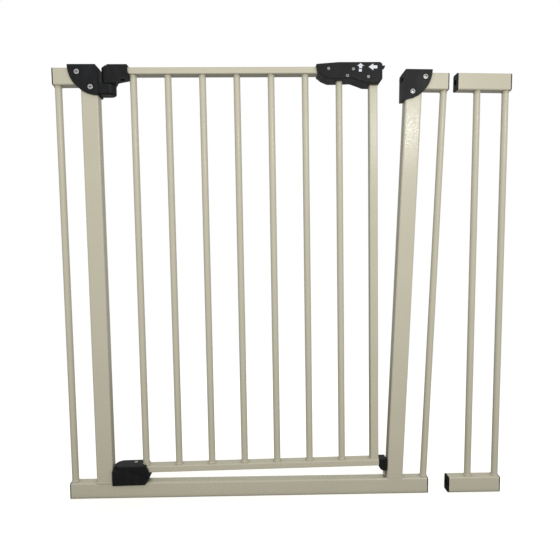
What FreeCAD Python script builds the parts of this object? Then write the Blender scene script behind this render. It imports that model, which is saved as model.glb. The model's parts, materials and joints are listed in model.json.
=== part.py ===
import FreeCAD, Part
import math
import os
import Sketcher
from FreeCAD import Placement, Rotation, Vector

# A pressure-fit safety gate: a U frame, a lift-and-swing door and one extension panel.
# Millimetres. +X runs along the bottom rail from the hinge side to the latch side,
# -Y is the front and +Z is up. The origin is the middle of the bottom rail's underside.
# The gate is stored as it stands before it is fitted, with both posts sprung outwards.

os.makedirs("parts", exist_ok=True)
doc = FreeCAD.newDocument("safety_gate")
sheet = doc.addObject("Spreadsheet::Sheet", "sizes")

driving_sizes = {
    # frame
    "gate_height": 780, "rail_length": 670, "tube_wide": 30, "tube_deep": 20, "tube_wall": 1.5,
    "tube_round": 3, "bar_across": 12, "bar_wall": 1, "post_inset": 64, "bar_inset": 7,
    "left_lean": 0.9, "right_lean": 1.9, "foot_gap": 0.1, "flex_gap": 0.6, "bar_flex_gap": 0.3,
    # door
    "hinge_offset": 32.5, "first_bar_offset": 42.5, "bar_pitch": 61.3, "door_bottom": 46,
    "door_rail_high": 12, "stile_wide": 15, "door_tube_wall": 1.2, "door_tube_round": 2,
    # extension panel
    "extension_gap": 38.5, "extension_length": 100, "extension_pitch": 52.5,
    # end plugs
    "flange_thick": 2, "plug_length": 17, "plug_fit": 0.2, "spindle_bore": 10.4,
    # corner covers
    "cover_radius": 52.5, "cover_rise": 4, "cover_reach": 5.5, "hinge_cover_reach": 1.6,
    "cover_half_deep": 13.5, "cover_wall": 2.5, "cover_plate_gap": 0.3, "cover_chamfer": 4, "cover_slack": 1.1,
    "screw_shank": 4, "screw_hole": 5.2, "cover_screw_head": 9, "cover_screw_sink": 11,
    # hinges
    "pin_across": 8, "running_gap": 0.05, "hinge_face_gap": 0.8,
    "seat_low": 733, "seat_high": 751.5, "seat_radius": 12, "barrel_radius": 12.5,
    "shoe_radius": 14.5, "housing_half_deep": 15.5,
    "cone_high": 56, "cone_start": 13, "cone_slope": 0.485, "boss_radius": 8, "boss_low": 40,
    # latch
    "handle_left": 129, "handle_right": 247.5, "handle_rise": 1.5, "handle_half_deep": 16,
    "slider_travel": 12, "tongue_tip": 254.5, "bolt_thick": 2.1, "bolt_gap": 0.3, "bolt_wide": 14,
    "bumper_reach": 2.7,
    # bottom bolt
    "holder_right": 255.6, "holder_low": 35.5, "holder_high": 58.6, "drop_bolt_across": 4,
    "drop_bolt_x": 252.6, "drop_bolt_low": 22.5, "drop_bolt_hole": 7,
}
for row, (alias, number) in enumerate(driving_sizes.items(), start=1):
    sheet.set(f"A{row}", alias.replace("_", " "))
    sheet.set(f"B{row}", str(number))
    sheet.setAlias(f"B{row}", alias)
doc.recompute()


class Size:
    """A length that carries both its value and the sheet expression that gives it."""

    def __init__(self, value, text):
        self.value = value
        self.text = text

    def __add__(self, other):
        other = as_size(other)
        return Size(self.value + other.value, f"({self.text} + {other.text})")

    def __sub__(self, other):
        other = as_size(other)
        return Size(self.value - other.value, f"({self.text} - {other.text})")

    def __mul__(self, factor):
        return Size(self.value * factor, f"({self.text} * {factor})")

    def __truediv__(self, factor):
        return Size(self.value / factor, f"({self.text} / {factor})")

    def __neg__(self):
        return Size(-self.value, f"(0 - {self.text})")

    __radd__ = __add__

    def __rsub__(self, other):
        return as_size(other) - self


def as_size(number):
    return number if isinstance(number, Size) else Size(float(number), f"({float(number)})")


def size(alias):
    return Size(float(getattr(sheet, alias)), f"sizes.{alias}")


gate_height = size("gate_height")
tube_wide = size("tube_wide")
tube_deep = size("tube_deep")
bar_across = size("bar_across")
flange = size("flange_thick")
rail_end = size("rail_length") / 2
post_x = rail_end - size("post_inset")
outer_bar_x = rail_end - size("bar_inset")
stub_low = gate_height - tube_wide
post_length = stub_low - tube_wide
hinge_x = size("hinge_offset") - post_x
first_bar_x = hinge_x + size("first_bar_offset")
door_bar_count = 7
stile_x = first_bar_x + size("bar_pitch") * door_bar_count
stile_right = stile_x + size("stile_wide") / 2
door_low = size("door_bottom")
door_rail_high = size("door_rail_high")
door_rail_low = gate_height - door_rail_high
extension_x = rail_end + size("extension_gap")
extension_end = extension_x + size("extension_length")
pin_hole_radius = size("pin_across") / 2 + size("running_gap")

nodes = {}
counter = {}


def unique(name):
    counter[name] = counter.get(name, 0) + 1
    return f"{name}_{counter[name]}"


def bind(item, prop, amount):
    item.setExpression(prop, as_size(amount).text)


def put(item, x, y, z):
    for axis, amount in zip("xyz", (x, y, z)):
        bind(item, f"Placement.Base.{axis}", amount)


def box(x, y, z):
    """A block between two x, two y and two z values."""
    block = doc.addObject("Part::Box", unique("block"))
    for prop, (low, high) in zip(("Length", "Width", "Height"), (x, y, z)):
        bind(block, prop, as_size(high) - low)
    put(block, x[0], y[0], z[0])
    return block


turns = {
    "x": Rotation(Vector(0, 1, 0), 90),
    "y": Rotation(Vector(1, 0, 0), -90),
    "z": Rotation(),
}


def cylinder(radius, start, length, axis="z"):
    """A round bar from a start point, along +X, +Y or +Z."""
    rod = doc.addObject("Part::Cylinder", unique("rod"))
    bind(rod, "Radius", radius)
    bind(rod, "Height", length)
    rod.Placement = Placement(Vector(), turns[axis])
    put(rod, *start)
    return rod


def cone(low_radius, high_radius, start, length):
    taper = doc.addObject("Part::Cone", unique("taper"))
    bind(taper, "Radius1", low_radius)
    bind(taper, "Radius2", high_radius)
    bind(taper, "Height", length)
    put(taper, *start)
    return taper


def fuse(*shapes):
    joined = doc.addObject("Part::MultiFuse", unique("joined"))
    joined.Shapes = list(shapes)
    joined.Refine = True
    return joined


def group(*shapes):
    """Separate solids kept side by side in one sub-part."""
    together = doc.addObject("Part::Compound", unique("together"))
    together.Links = list(shapes)
    return together


def cut(base, *tools):
    carved = doc.addObject("Part::Cut", unique("carved"))
    carved.Base = base
    carved.Tool = tools[0] if len(tools) == 1 else fuse(*tools)
    carved.Refine = True
    return carved


def common(first, second):
    shared = doc.addObject("Part::Common", unique("shared"))
    shared.Base = first
    shared.Tool = second
    return shared


def soften(base, radius, wanted):
    """Fillets the edges of a boolean result that a test on the edge accepts."""
    doc.recompute()
    chosen = [i for i, edge in enumerate(base.Shape.Edges, start=1) if wanted(edge)]
    rounded = doc.addObject("Part::Fillet", unique("rounded"))
    rounded.Base = base
    rounded.Edges = [(i, radius, radius) for i in chosen]
    return rounded


def origin_plane(body, role):
    return next(f for f in body.Origin.OriginFeatures if f.Role == role)


def new_sketch(body, role):
    sketch = body.newObject("Sketcher::SketchObject", unique("sketch"))
    sketch.AttachmentSupport = [(origin_plane(body, role), "")]
    sketch.MapMode = "FlatFace"
    return sketch


def constrain(sketch, kind, *rest):
    """Adds a constraint. A Size as the last value is bound to the sheet."""
    amount = rest[-1]
    if not isinstance(amount, Size):
        return sketch.addConstraint(Sketcher.Constraint(kind, *rest))
    index = sketch.addConstraint(Sketcher.Constraint(kind, *rest[:-1], amount.value))
    sketch.setExpression(f"Constraints[{index}]", amount.text)
    return index


def draw_rounded_rectangle(sketch, wide, deep, radius):
    """Four sides and four corner arcs, centred on the sketch's origin."""
    x, y, r = wide.value / 2, deep.value / 2, radius.value
    corners = [(x - r, r - y, -90), (x - r, y - r, 0), (r - x, y - r, 90), (r - x, r - y, 180)]
    sides = [(r - x, -y, x - r, -y), (x, r - y, x, y - r), (x - r, y, r - x, y), (-x, y - r, -x, r - y)]
    line, arc = [], []
    for ax, ay, bx, by in sides:
        line.append(sketch.addGeometry(Part.LineSegment(Vector(ax, ay), Vector(bx, by))))
    for cx, cy, start in corners:
        circle = Part.Circle(Vector(cx, cy), Vector(0, 0, 1), r)
        ends = math.radians(start), math.radians(start + 90)
        arc.append(sketch.addGeometry(Part.ArcOfCircle(circle, *ends)))
    for i in range(4):
        constrain(sketch, "Tangent", line[i], 2, arc[i], 1)
        constrain(sketch, "Tangent", arc[i], 2, line[(i + 1) % 4], 1)
        constrain(sketch, "Vertical" if i % 2 else "Horizontal", line[i])
    for i in range(1, 4):
        constrain(sketch, "Equal", arc[0], arc[i])
    constrain(sketch, "Radius", arc[0], radius)
    constrain(sketch, "DistanceX", line[3], 1, line[1], 1, wide)
    constrain(sketch, "DistanceY", line[0], 1, line[2], 1, deep)
    constrain(sketch, "Symmetric", line[0], 1, line[2], 1, -1, 1)


def draw_circle(sketch, radius):
    ring = sketch.addGeometry(Part.Circle(Vector(), Vector(0, 0, 1), radius.value))
    constrain(sketch, "Coincident", ring, 3, -1, 1)
    constrain(sketch, "Radius", ring, radius)


def pad(body, sketch, length):
    feature = body.newObject("PartDesign::Pad", unique("pad"))
    feature.Profile = sketch
    bind(feature, "Length", length)
    body.Tip = feature
    return feature


def new_body():
    return doc.addObject("PartDesign::Body", unique("body"))


def rectangular_tube(wide, deep, wall, radius, start, length, axis):
    """A hollow tube with round corners. Along x its wide side stands upright."""
    body = new_body()
    sketch = new_sketch(body, "XY_Plane")
    draw_rounded_rectangle(sketch, wide, deep, radius)
    draw_rounded_rectangle(sketch, wide - wall * 2, deep - wall * 2, radius - wall)
    pad(body, sketch, length)
    body.Placement = Placement(Vector(), turns[axis])
    put(body, *start)
    return body


def round_tube(x, low, high):
    """An upright round bar of the gate."""
    body = new_body()
    sketch = new_sketch(body, "XY_Plane")
    draw_circle(sketch, bar_across / 2)
    draw_circle(sketch, bar_across / 2 - size("bar_wall"))
    pad(body, sketch, high - low)
    put(body, x, 0, low)
    return body


def prism(points, near, far, round_corners=(), edge_radius=0.0):
    """An outline in the XZ plane, given thickness between y = near and y = far.
    round_corners holds (index of point, radius), edge_radius softens the near face's rim."""
    body = new_body()
    sketch = new_sketch(body, "XZ_Plane")
    corners = [(as_size(x), as_size(z)) for x, z in points]
    flat = [Vector(x.value, z.value) for x, z in corners]
    lines = [sketch.addGeometry(Part.LineSegment(a, b)) for a, b in zip(flat, flat[1:] + flat[:1])]
    for i, line in enumerate(lines):
        constrain(sketch, "Coincident", line, 2, lines[(i + 1) % len(lines)], 1)
        constrain(sketch, "DistanceX", -1, 1, line, 1, corners[i][0])
        constrain(sketch, "DistanceY", -1, 1, line, 1, corners[i][1])
    feature = pad(body, sketch, as_size(far) - near)
    put(body, 0, far, 0)
    for radius in sorted({r for i, r in round_corners}, reverse=True):
        wanted = [flat[i] for i, r in round_corners if r == radius]
        feature = round_edges(body, feature, radius, lambda e: upright_at(e, wanted))
    if edge_radius:
        depth = as_size(near).value - as_size(far).value
        feature = round_edges(body, feature, edge_radius, lambda e: lies_at_depth(e, depth))
    return body


def upright_at(edge, wanted):
    """True for a straight edge along Y through one of the wanted outline points."""
    if len(edge.Vertexes) != 2:
        return False
    a, b = (v.Point for v in edge.Vertexes)
    along_y = abs(a.x - b.x) < 1e-3 and abs(a.z - b.z) < 1e-3
    return along_y and any(abs(a.x - w.x) < 1e-3 and abs(a.z - w.y) < 1e-3 for w in wanted)


def lies_at_depth(edge, depth):
    box_of = edge.BoundBox
    return abs(box_of.YMin - depth) < 1e-3 and abs(box_of.YMax - depth) < 1e-3


def round_edges(body, base, radius, wanted):
    doc.recompute()
    chosen = [f"Edge{i}" for i, edge in enumerate(base.Shape.Edges, start=1) if wanted(edge)]
    feature = body.newObject("PartDesign::Fillet", unique("fillet"))
    feature.Base = (base, chosen)
    feature.Radius = radius
    body.Tip = feature
    return feature


def turned(angle, pivot):
    """The placement that leans a sub-part by an angle to the right about a pivot on the bottom rail."""
    spin = Rotation(Vector(0, 1, 0), angle)
    return Placement(Vector(), spin, Vector(pivot, 0, tube_wide.value))


upright = Placement()
left_side = turned(-size("left_lean").value, -rail_end.value)
right_post_place = turned(size("right_lean").value, post_x.value)
right_bar_place = turned(size("right_lean").value, outer_bar_x.value)
sway = math.radians(size("right_lean").value)
right_top_place = Placement(
    Vector(post_length.value * math.sin(sway), 0, -post_length.value * (1 - math.cos(sway))), Rotation()
)


def node(label, item, place=upright):
    """Names a finished sub-part and sets its place in the gate. A shape whose own place is bound
    to the sheet is wrapped in a compound, and the compound takes the lean."""
    whole = item
    if place is not upright:
        if item.ExpressionEngine:
            item.Label = f"{label} upright"
            whole = group(item)
        whole.Placement = place
    whole.Label = label
    nodes[label] = whole


def steel_tube(start, length, axis):
    section = tube_wide, tube_deep, size("tube_wall"), size("tube_round")
    return rectangular_tube(*section, start, length, axis)


def drill(tube, places, radius):
    """Screw holes from front to back, each at an (x, z)."""
    reach = tube_deep
    holes = [cylinder(radius, (x, -reach, z), reach * 2, "y") for x, z in places]
    return cut(tube, *holes)


# ---- corner positions shared by both sides

post_inner_x = post_x - tube_wide / 2
cover_inner_x = {1: post_inner_x - size("cover_reach"), -1: post_inner_x - size("hinge_cover_reach")}
cover_top = gate_height + size("cover_rise")
stub_screw = post_x + 19.7, cover_top - 12.4
post_screw = post_x - 3.2, cover_top - 38.5
cover_screws_at = [stub_screw, post_screw]


def mirrored(places, side):
    return [(x if side > 0 else -x, z) for x, z in places]


def end_plug(x, z, side):
    """A flanged plug in a tube's end, with the hole for a wall spindle. side is +1 for a right end."""
    body = new_body()
    gap = size("tube_wall") * 2 + size("plug_fit") * 2
    flange_sketch = new_sketch(body, "XY_Plane")
    draw_rounded_rectangle(flange_sketch, tube_wide, tube_deep, size("tube_round"))
    draw_circle(flange_sketch, size("spindle_bore") / 2)
    pad(body, flange_sketch, flange)
    insert_sketch = new_sketch(body, "XY_Plane")
    draw_rounded_rectangle(insert_sketch, tube_wide - gap, tube_deep - gap, size("tube_wall"))
    draw_circle(insert_sketch, size("spindle_bore") / 2)
    pad(body, insert_sketch, size("plug_length"))
    body.Placement = Placement(Vector(), Rotation(Vector(0, 1, 0), 90 if side < 0 else -90))
    put(body, x, 0, z)
    return body


def corner_cover(side, front, slack):
    """Half of a quarter-round cover over the corner of post and stub.
    side is -1 on the hinge side. The cover is drawn for the latch side and mirrored by its signs."""
    reach = size("cover_half_deep")
    wall = size("cover_wall")
    centre = cover_inner_x[side] * side
    near, far = (-reach, 0) if front else (0, reach)
    room_deep = tube_deep / 2 + slack[1]
    room = (-room_deep, 0.1) if front else (-0.1, room_deep)

    def quarter(radius, y_low, y_high):
        disc = cylinder(radius, (centre, y_low, cover_top), as_size(y_high) - y_low, "y")
        disc.Angle = 90
        disc.Placement.Rotation = quarter_turns[side]
        return disc

    def span(a, b):
        return (a, b) if side > 0 else (-as_size(b), -as_size(a))

    shell = quarter(size("cover_radius"), near, far)
    hollow = common(
        quarter(size("cover_radius") - wall, *room),
        box(span(post_inner_x - slack[0], post_x + 60), (-40, 40), (stub_low - 40, gate_height)),
    )
    stub_room = box(span(post_inner_x, post_x + 80), room, (stub_low, gate_height))
    post_room = box(
        span(post_inner_x - slack[0], post_x + tube_wide / 2 + slack[0]), room,
        (stub_low - 40, stub_low + 1),
    )
    screws = mirrored(cover_screws_at, side)
    holes = [cylinder(size("screw_shank") / 2 + 0.1, (x, -20, z), 40, "y") for x, z in screws]
    tools = [hollow, stub_room, post_room, *holes]
    if front:
        for x, z in screws:
            tools.append(cylinder(size("cover_screw_sink") / 2, (x, near - 1, z), 3, "y"))
    tools.append(chamfer_wedge(side))
    tools.extend(hinge_room() if side < 0 else strike_room())
    return cut(shell, *tools)


def chamfer_wedge(side):
    """The bevel at the cover's upper inner corner."""
    rise = size("cover_chamfer")
    cover_x = cover_inner_x[side]
    points = [
        (cover_x - 1, cover_top + 1), (cover_x + rise, cover_top + 1), (cover_x + rise, cover_top),
        (cover_x, cover_top - rise * 1.5), (cover_x - 1, cover_top - rise * 1.5),
    ]
    if side < 0:
        points = [(-as_size(x), z) for x, z in reversed(points)]
    return prism(points, -30, 30)


def hinge_room():
    """Clears the corner cover's inner wall around the top hinge seat."""
    seat_room = size("seat_high") + size("hinge_face_gap") / 2
    reach = size("seat_radius") + 0.2
    return [box((-post_inner_x, 22 - post_x), (-reach, reach), (size("seat_low") - 1, seat_room))]


def strike_room():
    """The pocket in the latch-side cover that the latch bolt enters."""
    roof = gate_height + size("bolt_thick") + size("bolt_gap") * 2.5
    return [box((cover_inner_x[1] - 1, post_x - 8), (-8.5, 8.5), (gate_height - 0.1, roof))]


quarter_turns = {
    1: Rotation(Vector(1, 0, 0), -90),
    -1: Rotation(Vector(1, 0, 0), -90) * Rotation(Vector(0, 0, 1), 90),
}


def cover_screws(side, socket):
    """The two screws through a corner cover. Their heads sit in the front cover's recesses."""
    reach = size("cover_half_deep")
    screws = []
    for x, z in mirrored(cover_screws_at, side):
        head = cylinder(size("cover_screw_head") / 2, (x, 0.4 - reach, z), 1.6, "y")
        shank = cylinder(size("screw_shank") / 2, (x, 1.9 - reach, z), reach * 2 - 4, "y")
        drive = cylinder(2.2 if socket else 1.6, (x, -reach, z), 1.4, "y")
        screws.append(cut(fuse(head, shank), drive))
    return group(*screws)


# ---- frame: bottom rail

rail_low_z = tube_wide / 2
inner_rail = rail_end - flange
bottom_tube = steel_tube((-inner_rail, 0, rail_low_z), inner_rail * 2, "x")
bolt_hole = cylinder(size("drop_bolt_hole") / 2, (size("drop_bolt_x"), 0, tube_wide - 4), 8)
node("bottom_rail", cut(bottom_tube, bolt_hole))
node("bottom_plug_left", end_plug(-rail_end, rail_low_z, -1))
node("bottom_plug_right", end_plug(rail_end, rail_low_z, 1))

# ---- frame: hinge side, built upright and leaned to the left about the rail's end

foot = tube_wide + size("foot_gap")
stub_mid = stub_low + tube_wide / 2
left_post = steel_tube((-post_x, 0, foot), stub_low - foot, "z")
node("left_post", drill(left_post, mirrored([post_screw], -1), size("screw_hole") / 2), left_side)
node("left_outer_bar", round_tube(-outer_bar_x, foot, stub_low), left_side)
left_stub = steel_tube((flange - rail_end, 0, stub_mid), rail_end - flange - post_inner_x, "x")
node("left_top_stub", drill(left_stub, mirrored([stub_screw], -1), size("screw_hole") / 2), left_side)
node("left_top_plug", end_plug(-rail_end, stub_mid, -1), left_side)
snug = as_size(0.2), size("cover_plate_gap")
node("left_corner_cover_front", corner_cover(-1, True, snug), left_side)
node("left_corner_cover_rear", corner_cover(-1, False, snug), left_side)
node("left_cover_screws", cover_screws(-1, False), left_side)

seat_low, seat_high = size("seat_low"), size("seat_high")
post_face = -post_inner_x
seat_radius = size("seat_radius")
seat_block = box((post_face, hinge_x), (-seat_radius, seat_radius), (seat_low, seat_high))
seat_barrel = cylinder(seat_radius, (hinge_x, 0, seat_low), seat_high - seat_low)
seat_body = soften(
    fuse(seat_block, seat_barrel), 4,
    lambda e: abs(e.BoundBox.ZMax - seat_low.value) < 0.01 and e.BoundBox.XMax > post_face.value + 1,
)
seat_hole = cylinder(pin_hole_radius, (hinge_x, 0, seat_low + 3.5), 40)
node("top_hinge_seat", cut(seat_body, seat_hole), left_side)

housing_deep = size("housing_half_deep")
cone_high, cone_slope = size("cone_high"), driving_sizes["cone_slope"]
cone_reach = 60
housing_outline = [
    (post_face, 25), (hinge_x + 42.5, 25), (hinge_x + 47.5, 33), (hinge_x + 50.5, 39),
    (hinge_x + 50.5, cone_high), (post_face, cone_high),
]


def below_cone(gap):
    """The space below the round, sloping face between the bottom hinge's two halves."""
    start = size("cone_start")
    low = cone_high - cone_slope * cone_reach + gap
    slope = cone(start + cone_reach, start, (hinge_x, 0, low), cone_slope * cone_reach)
    return fuse(slope, cylinder(start + cone_reach, (hinge_x, 0, 0), low))


housing_block = prism(housing_outline, -housing_deep, housing_deep, [(1, 4.0)], 1.5)
rail_room = box((-400, 0), (-tube_deep / 2 - 0.3, tube_deep / 2 + 0.3), (0, foot + 0.1))
pin_low = tube_wide + 1.5
pin_socket = cylinder(pin_hole_radius, (hinge_x, 0, pin_low - 0.5), 60)
boss_radius, boss_low = size("boss_radius"), size("boss_low")
boss_gap = 0.5
boss_room = cylinder(boss_radius + boss_gap, (hinge_x, 0, boss_low - boss_gap), 20)
spring_low = tube_wide + 2.5
spring_high = boss_low - boss_gap
spring_room = cut(
    cylinder(10, (hinge_x, 0, spring_low), spring_high - spring_low),
    cylinder(5.6, (hinge_x, 0, spring_low), spring_high - spring_low),
)
node(
    "bottom_hinge_housing",
    cut(common(housing_block, below_cone(0)), rail_room, pin_socket, boss_room, spring_room),
    left_side,
)

# ---- hinge pins, which turn with the door while it slides up them

pin_radius = size("pin_across") / 2
node("top_hinge_pin", cylinder(pin_radius, (hinge_x, 0, seat_low + 4), 38.5), left_side)
pin_top = 58.7
node("bottom_hinge_pin", cylinder(pin_radius, (hinge_x, 0, pin_low), pin_top - pin_low), left_side)


def closing_spring():
    """A torsion spring around the bottom pin, with its wire as a round tube along a helix."""
    wire, mean, pitch, turns_of_wire = 0.9, 6.9, 2.3, 2
    low = spring_low.value + 1.1
    slope = pitch / (2 * math.pi * mean)
    helix = Part.makeHelix(pitch, pitch * turns_of_wire, mean)
    helix.translate(Vector(hinge_x.value, 0, low))
    ring = Part.Wire(Part.makeCircle(wire, Vector(hinge_x.value + mean, 0, low), Vector(0, 1, slope)))
    coil = doc.addObject("Part::Feature", "closing_coil")
    coil.Shape = Part.Wire(helix).makePipeShell([ring], True, True)
    return coil


node("closing_spring", closing_spring(), left_side)

# ---- frame: latch side. The post and the bar lean outwards and the top stays level.

flex_gap, bar_gap = size("flex_gap"), size("bar_flex_gap")
right_post = steel_tube((post_x, 0, tube_wide + flex_gap), post_length - flex_gap * 2, "z")
node("right_post", drill(right_post, [post_screw], size("screw_hole") / 2), right_post_place)
right_bar = round_tube(outer_bar_x, tube_wide + bar_gap, stub_low - bar_gap)
node("right_outer_bar", right_bar, right_bar_place)
right_stub = steel_tube((post_inner_x, 0, stub_mid), rail_end - flange - post_inner_x, "x")
node("right_top_stub", drill(right_stub, [stub_screw], size("screw_hole") / 2), right_top_place)
node("right_top_plug", end_plug(rail_end, stub_mid, 1), right_top_place)
loose = size("cover_slack"), size("cover_plate_gap")
node("right_corner_cover_front", corner_cover(1, True, loose), right_top_place)
node("right_corner_cover_rear", corner_cover(1, False, loose), right_top_place)
node("right_cover_screws", cover_screws(1, True), right_top_place)
bumper_x, bumper_reach = cover_inner_x[1], size("bumper_reach")
bumper = prism(
    [
        (bumper_x - bumper_reach, gate_height - 13), (bumper_x, gate_height - 14),
        (bumper_x, gate_height - 8), (bumper_x - bumper_reach, gate_height - 9),
    ],
    -5, 5,
)
node("strike_bumper", bumper, right_top_place)

# ---- door frame

door_round = size("door_tube_round")
door_wall = size("door_tube_wall")
bar_fit = 0.1


def door_rail(z_low, start_x):
    section = door_rail_high, tube_deep, door_wall, door_round
    return rectangular_tube(*section, (start_x, 0, z_low + door_rail_high / 2), stile_right - start_x, "x")


top_rail_start = hinge_x + 16.5
bottom_rail_start = first_bar_x - 8
node("door_top_rail", door_rail(door_rail_low, top_rail_start), left_side)
node("door_bottom_rail", door_rail(door_low, bottom_rail_start), left_side)
bars_low = door_low + door_rail_high
for i in range(door_bar_count):
    bar = round_tube(first_bar_x + size("bar_pitch") * i, bars_low, door_rail_low)
    node(f"door_bar_{i + 1}", bar, left_side)
stile_section = size("stile_wide"), size("stile_wide"), door_wall, door_round
stile = rectangular_tube(*stile_section, (stile_x, 0, bars_low), door_rail_low - bars_low, "z")
node("door_closing_stile", stile, left_side)

# ---- door: top hinge arm, clamped around the end of the top rail

arm_low = seat_high + size("hinge_face_gap")
arm_deep = size("barrel_radius")
arm_right = first_bar_x - bar_across / 2
arm_outline = [
    (hinge_x, arm_low), (hinge_x + 9, arm_low), (hinge_x + 13, arm_low + 7),
    (hinge_x + 32, arm_low + 10.5), (arm_right + 2.5, arm_low + 15), (arm_right - 1, arm_low + 18),
    (arm_right - 1, cover_top), (hinge_x, cover_top),
]
arm_block = prism(arm_outline, -arm_deep, arm_deep, [(2, 2.0), (3, 4.0), (4, 1.5), (6, 1.0)])
barrel_top = 4
barrel = cylinder(arm_deep, (hinge_x, 0, arm_low), cover_top - arm_low - barrel_top)
barrel_bevel = cone(arm_deep, arm_deep - barrel_top, (hinge_x, 0, cover_top - barrel_top), barrel_top)
arm_bar_room = cylinder(bar_across / 2 + bar_fit, (first_bar_x, 0, arm_low), 30)
arm_socket = box(
    (top_rail_start, arm_right + 5), (-tube_deep / 2, tube_deep / 2), (door_rail_low, gate_height)
)
arm_pin_hole = cylinder(pin_hole_radius, (hinge_x, 0, arm_low - 5), 31)
arm_screw_x = arm_right - 13
arm_screw_hole = cylinder(2.1, (arm_screw_x, 0, arm_low), door_rail_low - arm_low + 0.1)
arm_screw_sink = cylinder(4.1, (arm_screw_x, 0, arm_low), 13.5)
node(
    "top_hinge_arm",
    cut(
        fuse(barrel, barrel_bevel, arm_block),
        arm_socket, arm_pin_hole, arm_bar_room, arm_screw_hole, arm_screw_sink,
    ),
    left_side,
)
arm_screw_head = cylinder(3.6, (arm_screw_x, 0, arm_low + 12), 1.5)
arm_screw_shank = cylinder(2, (arm_screw_x, 0, arm_low + 13.5), door_rail_low - arm_low - 13.5)
node("top_hinge_arm_screw", fuse(arm_screw_head, arm_screw_shank), left_side)

# ---- door: bottom hinge shoe, around the end of the bottom rail

shoe_top = 60.5
shoe_deep = size("shoe_radius")
shoe_outline = [
    (hinge_x, 30), (hinge_x + 51.5, 30), (hinge_x + 49, 50), (hinge_x + 47, 55),
    (hinge_x + 44, shoe_top), (hinge_x, shoe_top),
]
shoe_gap = 0.5
shoe_block = prism(shoe_outline, -shoe_deep, shoe_deep, [(3, 4.0), (4, 3.0)], 1.5)
shoe_barrel = cylinder(shoe_deep, (hinge_x, 0, 30), shoe_top - 30)
shoe_socket = box(
    (bottom_rail_start, stile_x), (-tube_deep / 2, tube_deep / 2), (door_low, door_low + door_rail_high)
)
bar_room = cylinder(bar_across / 2 + bar_fit, (first_bar_x, 0, door_low), 60)
shoe_boss = cylinder(boss_radius, (hinge_x, 0, boss_low), shoe_top - 2 - boss_low)
shoe_pin_hole = cylinder(pin_hole_radius, (hinge_x, 0, boss_low - 1), pin_top + 1.5 - boss_low)
shoe_body = cut(fuse(shoe_barrel, shoe_block), below_cone(shoe_gap), shoe_socket, bar_room)
node("bottom_hinge_shoe", cut(fuse(shoe_body, shoe_boss), shoe_pin_hole), left_side)

# ---- door: drop bolt at the foot of the closing stile

holder_outline = [
    (stile_right, size("holder_low") + 9), (stile_right + 2.5, size("holder_low") + 4),
    (stile_right + 7, size("holder_low") + 0.8), (size("holder_right"), size("holder_low")),
    (size("holder_right"), size("holder_high")), (stile_right, size("holder_high")),
]
holder_block = prism(holder_outline, -tube_deep / 2, tube_deep / 2, [(1, 3.0), (2, 4.0)], 1.0)
spigot_gap = door_wall + 0.4
spigot = box(
    (stile_right - 14, stile_right + 1), (spigot_gap - tube_deep / 2, tube_deep / 2 - spigot_gap),
    (door_low + spigot_gap, door_low + door_rail_high - spigot_gap),
)
drop_radius = size("drop_bolt_across") / 2
drop_top = 57
drop_hole = cylinder(drop_radius, (size("drop_bolt_x"), 0, 30), drop_top - 30)
node("drop_bolt_holder", cut(fuse(holder_block, spigot), drop_hole), left_side)
drop_low = size("drop_bolt_low")
drop_point = cone(drop_radius - 1, drop_radius, (size("drop_bolt_x"), 0, drop_low), 2)
drop_shank = cylinder(drop_radius, (size("drop_bolt_x"), 0, drop_low + 2), drop_top - drop_low - 2)
node("drop_bolt", fuse(drop_point, drop_shank), left_side)

# ---- handle and latch

handle_left, handle_right = size("handle_left"), size("handle_right")
handle_deep = size("handle_half_deep")
handle_top = cover_top + size("handle_rise")
split_y = -11
handle_outline = [
    (handle_left, handle_top - 3), (handle_left + 3, 768), (handle_left + 12, 761),
    (handle_left + 23, 756.5), (handle_left + 47, 756.7), (handle_left + 64, 757.5),
    (handle_left + 76, 753.4), (handle_left + 87, 749.2), (handle_right - 8, 748.3), (handle_right, 756),
    (handle_right, handle_top - 3), (handle_right - 4, handle_top), (handle_left + 40, handle_top),
]
handle_corners = [(0, 1.5), (2, 8.0), (3, 12.0), (5, 12.0), (7, 12.0), (8, 4.0), (9, 3.0), (11, 3.0)]
front_block = prism(handle_outline, -handle_deep, split_y, handle_corners, 1.5)
rear_block = prism(handle_outline, split_y, handle_deep, handle_corners)

bolt_low = gate_height + size("bolt_gap")
bolt_high = bolt_low + size("bolt_thick")
channel_roof = bolt_high + size("bolt_gap")
rail_pocket = box(
    (handle_left - 5, stile_right), (-tube_deep / 2, tube_deep / 2), (door_rail_low, gate_height)
)
stile_pocket = box(
    (stile_x - size("stile_wide") / 2, stile_right), (-size("stile_wide") / 2, size("stile_wide") / 2),
    (700, door_rail_low + 1),
)
channel_left = 160
bolt_channel = box((channel_left, handle_right + 5), (-7.5, 7.5), (gate_height - 0.1, channel_roof))
button_left, button_right = 197, 236
neck_half = 5
slider_slot = box(
    (button_left + 4 - size("slider_travel") - 0.3, button_right - 4 + 0.3),
    (-neck_half - 0.3, neck_half + 0.3), (gate_height, handle_top + 5),
)
handle_bar_room = cylinder(bar_across / 2 + bar_fit, (first_bar_x + size("bar_pitch") * 6, 0, 700), 75)
screw_places = [(151.4, 774.5), (195.5, 773.6), (184.9, 762.2), (222.3, 760.3)]
handle_screw_holes = [cylinder(1.6, (x, -handle_deep, z), 5.2, "y") for x, z in screw_places]
handle_screw_sinks = [cylinder(3.2, (x, -1 - handle_deep, z), 2.6, "y") for x, z in screw_places]
node("handle_front_shell", cut(front_block, *handle_screw_holes, *handle_screw_sinks), left_side)
pilot_holes = [cylinder(1.5, (x, split_y, z), 9 if z < 768 else 1, "y") for x, z in screw_places]
node(
    "handle_rear_shell",
    cut(
        rear_block, rail_pocket, stile_pocket, bolt_channel, slider_slot, handle_bar_room, *pilot_holes,
    ),
    left_side,
)


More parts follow.
